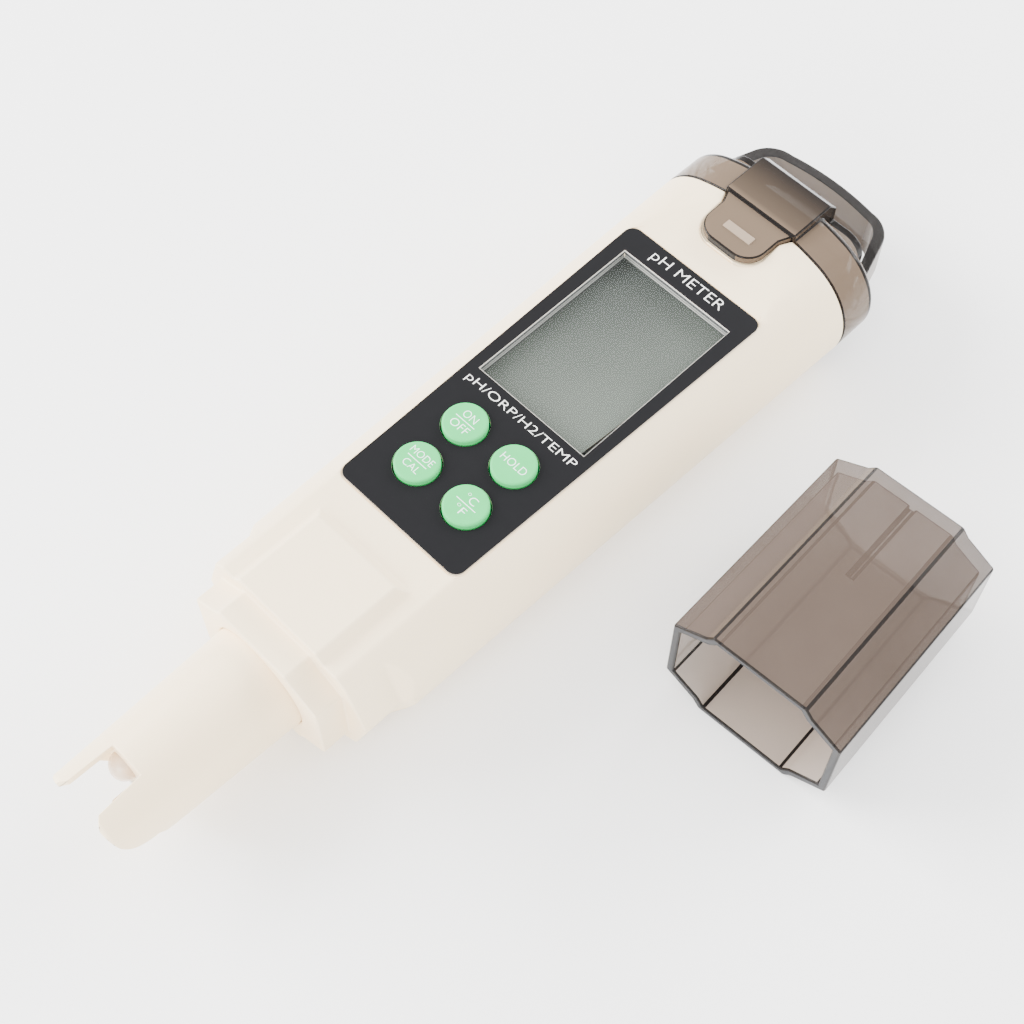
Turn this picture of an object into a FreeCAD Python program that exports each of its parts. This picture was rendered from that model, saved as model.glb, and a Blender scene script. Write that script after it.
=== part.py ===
import FreeCAD, Part
import math
import os

from FreeCAD import Vector as V

# A pocket pH meter and its loose probe cap.  Millimetres, +Z up.
# The meter lies on its flat back with its length along +Y: battery cap at +Y, probe at -Y.
# The origin is the middle of the flat back that the meter rests on.

# ---- driving dimensions -------------------------------------------------------------
# housing
BODY_LEN = 114.4          # from the probe collar to the battery cap seam
BODY_HALF_W_TOP = 22.6    # half width at the battery cap seam
BODY_HALF_W_LOW = 20.4    # half width at the probe collar
BODY_HALF_H = 14.7        # half height of the oval
CROWN_R = 42.0            # radius of the gentle front and back of the oval
FOOT_DROP = 0.9           # how far the flat back is cut into the oval
FACE_DROP = 2.8           # how far the display face is cut into the oval
WALL = 1.9
BULKHEAD = 2.5            # closed wall at the probe end
RAMP_START = 41.8         # the face starts to rise to the full oval here
RAMP_OVER = 0.5           # the ramp's cutter ends this far past the cap seam,
RAMP_LIFT = 0.05          # and this far over the oval
FACET_LEN = 7.7           # flats on the sides of the probe collar
FACET_BLEND = 3.6
FACET_CORNER = (15.9, 10.4)
FACET_SIDE = 19.5
FACET_RISE = 2.6          # how far the flats rise back to the oval
PAD_HALF_W = 9.3          # raised pad in front of the probe collar
PAD_LEN = 17.0
PAD_RISE = 1.9
PAD_SLOPE = 1.5
PAD_ROOT = 1.5            # depth of the pad's foot under the display face

# seat for the probe cap, an eight-sided collar with a raised band front and back
SEAT_LEN = 5.6
SEAT_HALF_W = 14.8
SEAT_CORNER_H = 7.0
SEAT_SHOULDER = (9.4, 10.0)
SEAT_BAND_HALF_W = 8.0
SEAT_BAND_H = 11.75
SEAT_GROW_SIDE = 0.7      # a corner's shift along its side when the outline grows by 1
SEAT_GROW_TOP = 0.6

# probe tube
TUBE_R_ROOT = 9.9
TUBE_R_TIP = 8.95
TUBE_WALL = 1.5
TUBE_REACH = 41.0         # from the housing end to the tips of the prongs
TUBE_INSIDE = 5.0         # how far the tube runs on inside the housing
TUBE_FLANGE_W = 1.7       # flange past the tube's wall
TUBE_FLANGE_T = 1.6
TUBE_GAP = 0.05
GASKET_T = 0.8
SLOT_HALF_W = 3.4
SLOT_LEN = 9.9            # from the tips to the bottom of the slot
PRONG_ARC_R = 7.0         # rounded end of each prong, seen from the side
PRONG_ARC_H = 6.3         # height of that arc's centre over the axis
PRONG_BEND_R = 1.1
SLOT_FLARE_HALF_W = 3.8   # the slot widens towards the prongs' rounded corners
PRONG_NOSE_LEN = 1.4
PRONG_NOSE_HALF_W = 5.2
PRONG_BACK_DROP = 3.6     # how far the prongs' back edge slopes down to the slot's bottom

# sensors, each at (x, height over the axis)
BULB_AT = (-2.2, 2.6)
BULB_R = 2.7
BULB_WALL = 0.35
STEM_R = 2.45
STEM_LEN = 15.0
STEM_WALL = 0.5
STEM_END_T = 1.0
BULB_REACH = 2.6          # bulb tip past the bottom of the slot
WIRE_R = 0.35
WIRE_IN_BULB = 1.2        # how far the wire reaches into the bulb
ORP_AT = (3.1, 4.4)
ORP_R = 1.15
ORP_REACH = 5.7
TEMP_AT = (3.7, -1.6)
TEMP_R = 1.0
TEMP_REACH = 4.0
JUNCTION_AT = (-2.2, -3.9)
JUNCTION_R = 1.3
JUNCTION_REACH = 0.5
PIN_LEN = 14.0            # length of the pins inside the plug
PIN_ROUND = 0.6           # edge radius as a share of the pin's radius
PLUG_LEN = 12.0
LEAD_R = 0.45
LEAD_SPREAD = 1.6
LEAD_LAND = 3.0           # solder land, from the board's edge

# front film, window and keys
FILM_T = 0.5
FILM_PROUD = 0.15
FILM_LOW_Y = -31.9
FILM_TOP_Y = 40.8
FILM_HALF_W_LOW = 14.2
FILM_HALF_W_TOP = 15.7
FILM_CORNER_R = 2.0
FILM_GAP = 0.1
WINDOW_LOW_Y = -0.8
WINDOW_TOP_Y = 35.6
WINDOW_HALF_W = 12.6
WINDOW_T = 1.2
WINDOW_SINK = 0.05        # pane under the film's top
KEY_R = 4.0
KEY_GAP = 0.3
KEY_PITCH_X = 11.7
KEY_PITCH_Y = 11.05
KEY_ROW_Y = -10.5         # upper row
KEY_RISE = 1.0            # key top over the film
KEY_EDGE_R = 0.45
KEY_TRAVEL = 0.7
KEY_FLANGE_R = 4.9
KEY_FLANGE_T = 0.8
KEY_POST_R = 1.5
KEY_POST_DIP = 0.3        # post end in the switch's well
MAT_T = 0.8
MAT_GAP = 0.2
MAT_EDGE = 1.0            # mat past the key flanges

# display and board, as depths below the display face
LCD_DEPTH = 2.3
LCD_T = 2.6
LCD_HALF_W = 14.1
LCD_OVER = 2.0            # glass past the window at each end
LCD_STEP = 0.8            # front plate short of the rear plate
LCD_GAP = 0.1
REFLECTOR_T = 0.9
REFLECTOR_INSET = 0.6
STRIP_W = 1.8             # rubber contact strips
STRIP_GAP = 0.3
FRAME_WALL = 1.0
FRAME_LIP = 1.2           # frame up the side of the glass
FRAME_SILL = 0.2          # frame's opening past the window
BOARD_DEPTH = 8.5
BOARD_T = 1.6
BOARD_HALF_W = 15.8
BOARD_LOW_Y = -46.0
BOARD_TOP_Y = 40.6
BOARD_GAP = 0.2
SWITCH_SIZE = 6.0
SWITCH_H = 3.2
CHIPS = [                 # x, y, width, length and height of each part under the board
    (-4, 12, 10, 10, 1.6), (6, -14, 5, 6, 1.5), (-7, -14, 5, 4, 1.4), (9, 12, 3, 8, 2.2),
    (-10, 26, 3, 2, 1.0), (-5, 26, 3, 2, 1.0), (0, 26, 3, 2, 1.0), (5, 26, 3, 2, 1.0),
]
CARRIER_FLOOR_DEPTH = 15.8
CARRIER_T = 1.2
CARRIER_HALF_W = 17.2
CARRIER_LIP = 1.0
CARRIER_TOP = 0.8         # rails over the board
POST_R = 2.2
SCREW_R = 0.9
SCREW_DEPTH = 3.5
SCREW_INSET = 3.5         # from the board's edges
SCREW_SLOT = 0.5
SCREW_HEAD_R = 1.9
SCREW_HEAD_T = 1.2

# battery room
CELL_R = 5.8
CELL_T = 5.4
CELL_COUNT = 4
CELL_CAP_T = 1.0          # the narrower end of each cell
CELL_CAP_INSET = 1.2
CELL_GAP = 0.2
CONTACT_T = 0.4
CONTACT_HALF = 4.0
LEAF_HALF_W = 2.0
LEAF_BOW = 1.4
HOLDER_T = 1.2
HOLDER_GAP = 0.3          # between the holder and the board
HOLDER_SIDE_H = 5.0       # sides over the cells' axis
HOLDER_OPEN = 0.4         # cells past the holder's open side

# battery cap
CAP_SKIRT = 8.8
CAP_END_T = 1.6
CAP_EDGE_R = 1.0
CAP_DRAW = 0.2            # how much the skirt draws in towards its edge
SPIGOT_LEN = 5.8
SPIGOT_WALL = 1.4
SPIGOT_GAP = 0.3
SEAM_GAP = 0.1
SPIGOT_ROOT = 1.0         # spigot up into the skirt
PLATFORM_HALF_W = 15.8
PLATFORM_HALF_H = 9.8
PLATFORM_LEN = 3.4
PLATFORM_WALL = 1.6
PLATFORM_R = 4.0
BAND_HALF_W = 8.2
BAND_RISE = 0.5
BAND_CHAMFER = 2.2
TONGUE_HALF_W = 6.6
TONGUE_ROOT_HALF_W = 7.6
TONGUE_LEN = 10.2
TONGUE_FLARE = 2.4        # length over which the root widens
TONGUE_IN_CAP = 0.9
TONGUE_CORNER_R = 4.2
TONGUE_T = 1.7
TONGUE_GAP = 0.3
RING_R = 0.75             # rubber ring on the spigot
RING_GAP = 0.06
LOOP_HALF_H = 4.3
LOOP_T = 1.9
LOOP_ROOT_HALF_W = 19.2
LOOP_TIP_HALF_W = 14.5
LOOP_LEN = 14.7
LOOP_CROWN = 0.9
LOOP_CORNER_R = 6.3
LOOP_ROOT = 0.5           # loop's feet into the cap's end

# loose probe cap
PCAP_GAP = 0.3
PCAP_WALL = 1.5
PCAP_LEN = 43.2
PCAP_DRAFT = 0.6          # how much each side draws in towards the closed end
PCAP_MOUTH = (59.7, -10.3)
PCAP_YAW = 3.6            # degrees, turned away from the meter's own direction
PCAP_RIB_LEN = 17.5
PCAP_RIB_W = 1.0
PCAP_RIB_H = 1.2

# ---- sizes that follow --------------------------------------------------------------
TUBE_FLANGE_R = TUBE_R_ROOT + TUBE_FLANGE_W
AXIS_Z = BODY_HALF_H - FOOT_DROP
FACE_Z = AXIS_Z + BODY_HALF_H - FACE_DROP
BODY_Y0 = -BODY_LEN / 2
BODY_Y1 = BODY_LEN / 2
CAVITY_Z0 = WALL
CAVITY_Z1 = FACE_Z - WALL
SEAT_Y0 = BODY_Y0 - SEAT_LEN
TIP_Y = BODY_Y0 - TUBE_REACH
SLOT_Y = TIP_Y + SLOT_LEN
CAVITY_Y0 = BODY_Y0 + BULKHEAD
PAD_Y1 = BODY_Y0 + PAD_LEN
BOARD_Z1 = FACE_Z - BOARD_DEPTH
BOARD_Z0 = BOARD_Z1 - BOARD_T
CAP_Y1 = BODY_Y1 + CAP_SKIRT
PLATFORM_Y1 = CAP_Y1 + PLATFORM_LEN
CELL_STACK = CELL_T * CELL_COUNT
KEY_XS = (-KEY_PITCH_X / 2, KEY_PITCH_X / 2)
KEY_YS = (KEY_ROW_Y, KEY_ROW_Y - KEY_PITCH_Y)
LCD_Z1 = FACE_Z - LCD_DEPTH
LCD_Z0 = LCD_Z1 - LCD_T
HOLDER_Y0 = BOARD_TOP_Y + HOLDER_GAP
CELL_Y = HOLDER_Y0 + HOLDER_T + CELL_GAP + CELL_R
SPIGOT_INSET = WALL + SPIGOT_GAP
RING_Y = BODY_Y1 - SPIGOT_LEN / 2
CROWN_Z = AXIS_Z + BODY_HALF_H
BIG = 200.0
CUT_OVER = 1.0            # cutters run this far past the faces that they cut


# ---- small builders -----------------------------------------------------------------
def save(name, shape):
    """Write one sub-part."""
    shape.exportStep("parts/" + name + ".step")
    print(name, round(shape.Volume, 2), len(shape.Solids), shape.isValid())


def box(x0, x1, y0, y1, z0, z1):
    return Part.makeBox(x1 - x0, y1 - y0, z1 - z0, V(x0, y0, z0))


def rod_y(x, z, r, y0, y1):
    """A round rod along Y."""
    return Part.makeCylinder(r, y1 - y0, V(x, y0, z), V(0, 1, 0))


def rod_z(x, y, r, z0, z1):
    return Part.makeCylinder(r, z1 - z0, V(x, y, z0), V(0, 0, 1))


def cone_y(r0, r1, y0, y1):
    """A round taper along the meter's axis."""
    return Part.makeCone(r0, r1, y1 - y0, V(0, y0, AXIS_Z), V(0, 1, 0))


def solid_between(wires):
    """A closed solid with straight sides between matching outlines."""
    return Part.makeLoft(wires, True, True)


def polygon_xz(points, y):
    corners = [V(x, y, AXIS_Z + h) for x, h in points]
    return Part.makePolygon(corners + corners[:1])


def plan_prism(wire, z0, z1):
    """Raise a flat outline drawn at z = 0 from z0 to z1."""
    face = Part.Face(wire)
    face.translate(V(0, 0, z0))
    return face.extrude(V(0, 0, z1 - z0))


def rounded_plan(points, radius):
    """A flat outline with every corner rounded."""
    edges = []
    count = len(points)
    starts, ends, mids = [], [], []
    for i in range(count):
        here = V(points[i][0], points[i][1], 0)
        before = V(points[i - 1][0], points[i - 1][1], 0) - here
        after = V(points[(i + 1) % count][0], points[(i + 1) % count][1], 0) - here
        half = before.getAngle(after) / 2
        cut = radius / math.tan(half)
        before.normalize()
        after.normalize()
        middle = (before + after).normalize()
        starts.append(here + before * cut)
        ends.append(here + after * cut)
        mids.append(here + middle * (radius / math.sin(half) - radius))
    for i in range(count):
        edges.append(Part.Arc(starts[i], mids[i], ends[i]).toShape())
        edges.append(Part.makeLine(ends[i], starts[(i + 1) % count]))
    return Part.Wire(edges)


# ---- the housing's oval -------------------------------------------------------------
def half_w_at(y):
    """Half width of the housing's oval, which tapers evenly towards the probe."""
    share = (y - BODY_Y0) / BODY_LEN
    return BODY_HALF_W_LOW + (BODY_HALF_W_TOP - BODY_HALF_W_LOW) * share


def oval(y, inset, draw=0.0):
    """The oval at one station: two gentle crowns and two tight sides, all tangent."""
    half_w = half_w_at(y) - inset - draw
    half_h = BODY_HALF_H - inset - draw
    crown = CROWN_R - inset - draw
    side = (half_w ** 2 + (crown - half_h) ** 2 - crown ** 2) / (2 * (half_w - crown))
    side_x = half_w - side
    drop = crown - half_h
    reach = math.hypot(side_x, drop)
    join_x = crown * side_x / reach
    join_z = crown * drop / reach - drop

    def at(x, z):
        return V(x, y, AXIS_Z + z)

    arcs = [
        Part.Arc(at(join_x, -join_z), at(half_w, 0), at(join_x, join_z)),
        Part.Arc(at(join_x, join_z), at(0, half_h), at(-join_x, join_z)),
        Part.Arc(at(-join_x, join_z), at(-half_w, 0), at(-join_x, -join_z)),
        Part.Arc(at(-join_x, -join_z), at(0, -half_h), at(join_x, -join_z)),
    ]
    return Part.Wire([arc.toShape() for arc in arcs])


def oval_body(y0, y1, inset):
    return solid_between([oval(y0, inset), oval(y1, inset)])


def cavity(y0, y1, inset):
    """The room inside the walls, flat over the back and under the display face."""
    extra = inset - WALL
    slab = box(-BIG, BIG, y0, y1, CAVITY_Z0 + extra, CAVITY_Z1 - extra)
    return oval_body(y0, y1, inset).common(slab)


# ---- housing ------------------------------------------------------------------------
def face_cut():
    """Everything in front of the display face, which ramps up to the oval at the cap."""
    points = [
        V(0, BODY_Y0 - CUT_OVER, FACE_Z),
        V(0, RAMP_START, FACE_Z),
        V(0, BODY_Y1 + RAMP_OVER, CROWN_Z + RAMP_LIFT),
        V(0, BODY_Y1 + RAMP_OVER, BIG),
        V(0, BODY_Y0 - CUT_OVER, BIG),
        V(0, BODY_Y0 - CUT_OVER, FACE_Z),
    ]
    face = Part.Face(Part.makePolygon(points))
    face.translate(V(-BIG, 0, 0))
    return face.extrude(V(2 * BIG, 0, 0))


def facet_cut(side):
    """The two flats on one side of the probe collar, and their short rise back to the oval."""
    corner_x, corner_h = FACET_CORNER
    lean = (FACET_SIDE - corner_x) / corner_h
    top_h = BODY_HALF_H
    top_x = FACET_SIDE - lean * top_h
    far_x = 2 * BODY_HALF_W_TOP

    def outline(y, shift):
        points = [(top_x + shift, top_h), (FACET_SIDE + shift, 0), (top_x + shift, -top_h),
                  (far_x, -top_h), (far_x, top_h)]
        return polygon_xz([(side * x, h) for x, h in points], y)

    y1 = BODY_Y0 + FACET_LEN
    flat = solid_between([outline(BODY_Y0 - CUT_OVER, 0), outline(y1, 0)])
    rise = solid_between([outline(y1, 0), outline(y1 + FACET_BLEND, FACET_RISE)])
    return flat.fuse(rise)


def raised_pad():
    """The low pad that carries the cap seat's front band on up the housing."""
    foot = PAD_HALF_W + PAD_SLOPE
    low_z = FACE_Z - PAD_ROOT
    top_z = FACE_Z + PAD_RISE

    def outline(half_w, y1, z):
        return Part.makePolygon([V(-half_w, BODY_Y0, z), V(half_w, BODY_Y0, z),
                                 V(half_w, y1, z), V(-half_w, y1, z), V(-half_w, BODY_Y0, z)])

    slope = PAD_SLOPE * (top_z - low_z) / PAD_RISE
    return solid_between([outline(PAD_HALF_W + slope, PAD_Y1 + slope, low_z),
                          outline(PAD_HALF_W, PAD_Y1, top_z)])


def seat_points(grow):
    """Half outline of the cap seat, mirrored all round; grow moves every side outwards."""
    shoulder_x, shoulder_h = SEAT_SHOULDER
    quarter = [
        (SEAT_HALF_W + grow, SEAT_CORNER_H + grow * SEAT_GROW_SIDE),
        (shoulder_x + grow * SEAT_GROW_TOP, shoulder_h + grow),
        (SEAT_BAND_HALF_W + grow * SEAT_GROW_TOP, SEAT_BAND_H + grow),
    ]
    upper = quarter + [(-x, h) for x, h in reversed(quarter)]
    return upper + [(-x, -h) for x, h in upper]


def cap_seat():
    return solid_between([polygon_xz(seat_points(0), SEAT_Y0),
                          polygon_xz(seat_points(0), BODY_Y0)])


def film_outline(gap):
    return rounded_plan([(-FILM_HALF_W_LOW - gap, FILM_LOW_Y - gap),
                         (FILM_HALF_W_LOW + gap, FILM_LOW_Y - gap),
                         (FILM_HALF_W_TOP + gap, FILM_TOP_Y + gap),
                         (-FILM_HALF_W_TOP - gap, FILM_TOP_Y + gap)], FILM_CORNER_R)


def window_box(grow, z0, z1):
    return box(-WINDOW_HALF_W - grow, WINDOW_HALF_W + grow,
               WINDOW_LOW_Y - grow, WINDOW_TOP_Y + grow, z0, z1)


def tongue(gap, z0, z1):
    """The latch tongue of the battery cap, or with a gap the notch that it lies in."""
    half_w = TONGUE_HALF_W + gap
    root = TONGUE_ROOT_HALF_W + gap
    y0 = BODY_Y1 - TONGUE_LEN - gap
    y1 = BODY_Y1 + SEAM_GAP + TONGUE_IN_CAP
    past = y1 + 2 * TONGUE_CORNER_R
    blade = rounded_plan([(-half_w, y0), (half_w, y0), (half_w, past), (-half_w, past)], TONGUE_CORNER_R)
    flare_y = BODY_Y1 - TONGUE_FLARE
    corners = [V(-half_w, flare_y, 0), V(half_w, flare_y, 0), V(root, BODY_Y1, 0), V(root, y1, 0),
               V(-root, y1, 0), V(-root, BODY_Y1, 0)]
    flare = plan_prism(Part.makePolygon(corners + corners[:1]), z0, z1)
    return plan_prism(blade, z0, z1).common(box(-BIG, BIG, -BIG, y1, z0, z1)).fuse(flare).removeSplitter()


def housing():
    shell = oval_body(BODY_Y0, BODY_Y1, 0).cut(face_cut())
    shell = shell.fuse(raised_pad())
    for side in (1, -1):
        shell = shell.cut(facet_cut(side))
    shell = shell.fuse(cap_seat())
    shell = shell.cut(box(-BIG, BIG, -BIG, BIG, -BIG, 0))
    shell = shell.cut(cavity(CAVITY_Y0, BODY_Y1 + 1, WALL))
    shell = shell.cut(rod_y(0, AXIS_Z, TUBE_R_ROOT + FILM_GAP, SEAT_Y0 - 1, CAVITY_Y0 + 1))
    film_floor = FACE_Z - FILM_T + FILM_PROUD
    shell = shell.cut(plan_prism(film_outline(FILM_GAP), film_floor, FACE_Z + 1))
    shell = shell.cut(window_box(0, CAVITY_Z1 - 1, FACE_Z + 1))
    for x in KEY_XS:
        for y in KEY_YS:
            shell = shell.cut(rod_z(x, y, KEY_R + KEY_GAP, CAVITY_Z1 - 1, FACE_Z + 1))
    return shell.cut(tongue(TONGUE_GAP, CROWN_Z - TONGUE_T - TONGUE_GAP, CROWN_Z + 1))


# ---- probe --------------------------------------------------------------------------
def tube_radius(y):
    share = (y - SEAT_Y0) / (TIP_Y - SEAT_Y0)
    return TUBE_R_ROOT + (TUBE_R_TIP - TUBE_R_ROOT) * share


def prong_keep():
    """The space that the two prongs may fill past the bottom of the slot."""
    arc_y = TIP_Y + PRONG_ARC_R
    arc_z = AXIS_Z + PRONG_ARC_H
    back_z = arc_z - PRONG_ARC_R
    round_end = Part.makeCylinder(PRONG_ARC_R, 2 * BIG, V(-BIG, arc_y, arc_z), V(1, 0, 0))
    back = [(arc_y, back_z), (SLOT_Y, back_z - PRONG_BACK_DROP), (SLOT_Y, BIG), (arc_y, BIG), (arc_y, back_z)]
    side = Part.Face(Part.makePolygon([V(-BIG, y, z) for y, z in back]))
    upper = side.extrude(V(2 * BIG, 0, 0))
    keep = round_end.fuse(upper).fuse(box(-BIG, BIG, SLOT_Y, BIG, -BIG, BIG))
    right = [(SLOT_HALF_W, SLOT_Y), (SLOT_FLARE_HALF_W, TIP_Y + PRONG_NOSE_LEN),
             (PRONG_NOSE_HALF_W, TIP_Y), (PRONG_NOSE_HALF_W, TIP_Y - CUT_OVER)]
    corners = [V(x, y, 0) for x, y in right + [(-x, y) for x, y in reversed(right)]]
    return keep.cut(plan_prism(Part.makePolygon(corners + corners[:1]), -BIG, BIG))


def flange_disc(y0, y1):
    """A disc behind the bulkhead, trimmed flat where the housing's walls are near."""
    return rod_y(0, AXIS_Z, TUBE_FLANGE_R, y0, y1).common(cavity(y0, y1, WALL + FILM_GAP))


def probe_tube():
    root_y = CAVITY_Y0 + TUBE_INSIDE
    body = cone_y(TUBE_R_TIP, TUBE_R_ROOT, TIP_Y, SEAT_Y0)
    tip_edges = [e for e in body.Edges if abs(e.CenterOfMass.y - TIP_Y) < 0.01]
    body = body.makeFillet(PRONG_BEND_R, tip_edges)
    body = body.fuse(rod_y(0, AXIS_Z, TUBE_R_ROOT, SEAT_Y0, root_y))
    flange_y = CAVITY_Y0 + GASKET_T
    body = body.fuse(flange_disc(flange_y, flange_y + TUBE_FLANGE_T))
    bore_root = TUBE_R_ROOT - TUBE_WALL
    bore = cone_y(TUBE_R_TIP - TUBE_WALL, bore_root, TIP_Y - 0.01, SEAT_Y0)
    bore = bore.fuse(rod_y(0, AXIS_Z, bore_root, SEAT_Y0, root_y + 1))
    return body.cut(bore).common(prong_keep())


def plug_body():
    y1 = SLOT_Y + PLUG_LEN
    gap = TUBE_WALL + TUBE_GAP
    body = cone_y(tube_radius(SLOT_Y) - gap, tube_radius(y1) - gap, SLOT_Y, y1)
    holes = [(BULB_AT, STEM_R), (ORP_AT, ORP_R), (TEMP_AT, TEMP_R), (JUNCTION_AT, JUNCTION_R)]
    for (x, h), r in holes:
        body = body.cut(rod_y(x, AXIS_Z + h, r, SLOT_Y - 1, y1 + 1))
    return body


def glass_bulb():
    """The thin bulb blown on the end of the glass stem."""
    x, h = BULB_AT
    centre = V(x, SLOT_Y - BULB_REACH + BULB_R, AXIS_Z + h)
    ball = Part.makeSphere(BULB_R, centre)
    ball = ball.cut(Part.makeSphere(BULB_R - BULB_WALL, centre))
    return ball.common(box(-BIG, BIG, -BIG, SLOT_Y, -BIG, BIG))


def glass_stem():
    x, h = BULB_AT
    outer = rod_y(x, AXIS_Z + h, STEM_R, SLOT_Y, SLOT_Y + STEM_LEN)
    return outer.cut(rod_y(x, AXIS_Z + h, STEM_R - STEM_WALL, SLOT_Y - 1, SLOT_Y + STEM_LEN - STEM_END_T))


def silver_wire():
    x, h = BULB_AT
    return rod_y(x, AXIS_Z + h, WIRE_R, SLOT_Y - WIRE_IN_BULB, SLOT_Y + STEM_LEN - STEM_END_T)


def pin(place, r, reach):
    x, h = place
    body = rod_y(x, AXIS_Z + h, r, SLOT_Y - reach, SLOT_Y + PIN_LEN)
    tips = [e for e in body.Edges if abs(e.CenterOfMass.y - (SLOT_Y - reach)) < 0.01]
    return body.makeFillet(r * PIN_ROUND, tips)


def junction():
    x, h = JUNCTION_AT
    return rod_y(x, AXIS_Z + h, JUNCTION_R, SLOT_Y - JUNCTION_REACH, SLOT_Y + PLUG_LEN)


def tube_gasket():
    y1 = CAVITY_Y0 + GASKET_T
    return flange_disc(CAVITY_Y0, y1).cut(rod_y(0, AXIS_Z, TUBE_R_ROOT + TUBE_GAP, CAVITY_Y0 - 1, y1 + 1))


def bent_rod(points, r):
    """Straight round runs from point to point, with ball knees."""
    runs = [Part.makeCylinder(r, (b - a).Length, a, b - a) for a, b in zip(points, points[1:])]
    knees = [Part.makeSphere(r, p) for p in points[1:-1]]
    return runs[0].fuse(runs[1:] + knees).removeSplitter()


def sensor_leads():
    """Three thin leads from the back of the sensors to the underside of the board."""
    bend_y = CAVITY_Y0 + TUBE_INSIDE
    under_z = BOARD_Z0 - LEAD_R
    leads = []
    for (x, h), back in ((BULB_AT, STEM_LEN), (ORP_AT, PIN_LEN), (TEMP_AT, PIN_LEN)):
        z = AXIS_Z + h
        wide = x * LEAD_SPREAD
        leads.append(bent_rod([V(x, SLOT_Y + back, z), V(x, bend_y, z),
                               V(wide, BOARD_LOW_Y - 2 * LEAD_R, under_z),
                               V(wide, BOARD_LOW_Y + LEAD_LAND, under_z)], LEAD_R))
    return Part.makeCompound(leads)


# ---- front --------------------------------------------------------------------------
def front_film():
    z0 = FACE_Z - FILM_T + FILM_PROUD
    film = plan_prism(film_outline(0), z0, FACE_Z + FILM_PROUD)
    film = film.cut(window_box(0, z0 - 1, FACE_Z + 1))
    for x in KEY_XS:
        for y in KEY_YS:
            film = film.cut(rod_z(x, y, KEY_R + KEY_GAP, z0 - 1, FACE_Z + 1))
    return film


def display_window():
    """The clear pane that closes the opening, level with the film."""
    z1 = FACE_Z + FILM_PROUD - WINDOW_SINK
    return window_box(-FILM_GAP, z1 - WINDOW_T, z1)


def key(x, y):
    """One round push key: a shallow dome, a skirt, a flange and a post."""
    top_z = FACE_Z + FILM_PROUD + KEY_RISE
    flange_z1 = CAVITY_Z1 - MAT_T - MAT_GAP
    flange_z0 = flange_z1 - KEY_FLANGE_T
    button = rod_z(x, y, KEY_R, flange_z1, top_z)
    rim = [e for e in button.Edges if abs(e.CenterOfMass.z - top_z) < 0.01]
    button = button.makeFillet(KEY_EDGE_R, rim)
    flange = rod_z(x, y, KEY_FLANGE_R, flange_z0, flange_z1)
    post = rod_z(x, y, KEY_POST_R, BOARD_Z1 + SWITCH_H - KEY_POST_DIP, flange_z0)
    return button.fuse([flange, post]).removeSplitter()


def keypad_mat():
    half_x = KEY_PITCH_X / 2 + KEY_FLANGE_R
    reach = KEY_FLANGE_R + MAT_EDGE
    mat = box(-half_x, half_x, KEY_YS[1] - reach, KEY_YS[0] + reach, CAVITY_Z1 - MAT_T, CAVITY_Z1)
    for x in KEY_XS:
        for y in KEY_YS:
            mat = mat.cut(rod_z(x, y, KEY_R + KEY_GAP, CAVITY_Z1 - 2, CAVITY_Z1 + 1))
    return mat


# ---- display and electronics --------------------------------------------------------
def lcd_box(grow, z0, z1):
    return box(-LCD_HALF_W - grow, LCD_HALF_W + grow,
               WINDOW_LOW_Y - LCD_OVER - grow, WINDOW_TOP_Y + LCD_OVER + grow, z0, z1)


def lcd_glass():
    """Two bonded glass plates, the rear one longer for its contact ledge."""
    middle = LCD_Z1 - LCD_T / 2
    front = lcd_box(-LCD_STEP, middle, LCD_Z1)
    return front.fuse(lcd_box(0, LCD_Z0, middle)).removeSplitter()


def lcd_reflector():
    half_x = WINDOW_HALF_W - REFLECTOR_INSET
    inset = STRIP_W + STRIP_GAP
    return box(-half_x, half_x, WINDOW_LOW_Y + inset, WINDOW_TOP_Y - inset, LCD_Z0 - REFLECTOR_T, LCD_Z0)


def lcd_frame():
    """The moulded frame that stands on the board and carries the glass."""
    z1 = LCD_Z0 + FRAME_LIP
    ring = lcd_box(FRAME_WALL, BOARD_Z1, z1)
    ring = ring.cut(lcd_box(LCD_GAP, LCD_Z0, z1 + 1))
    return ring.cut(window_box(FRAME_SILL, BOARD_Z1 - 1, z1 + 1))


def contact_strips():
    """Two rubber contact strips between the glass ledge and the board."""
    half_x = WINDOW_HALF_W - REFLECTOR_INSET
    strips = []
    for y in (WINDOW_LOW_Y, WINDOW_TOP_Y - STRIP_W):
        strips.append(box(-half_x, half_x, y, y + STRIP_W, BOARD_Z1, LCD_Z0))
    return Part.makeCompound(strips)


def screw_places():
    x = BOARD_HALF_W - SCREW_INSET
    upper_y = WINDOW_LOW_Y - LCD_OVER - FRAME_WALL - SCREW_HEAD_R - BOARD_GAP
    return [(sx * x, y) for sx in (-1, 1) for y in (BOARD_LOW_Y + SCREW_INSET, upper_y)]


def main_board():
    board = box(-BOARD_HALF_W, BOARD_HALF_W, BOARD_LOW_Y, BOARD_TOP_Y, BOARD_Z0, BOARD_Z1)
    for x, y in screw_places():
        board = board.cut(rod_z(x, y, SCREW_R + BOARD_GAP, BOARD_Z0 - 1, BOARD_Z1 + 1))
    return board


def board_chips():
    """Processor, amplifier, crystal can and a row of small parts under the board."""
    parts = []
    for x, y, w, length, h in CHIPS:
        parts.append(box(x - w / 2, x + w / 2, y - length / 2, y + length / 2, BOARD_Z0 - h, BOARD_Z0))
    return Part.makeCompound(parts)


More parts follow.
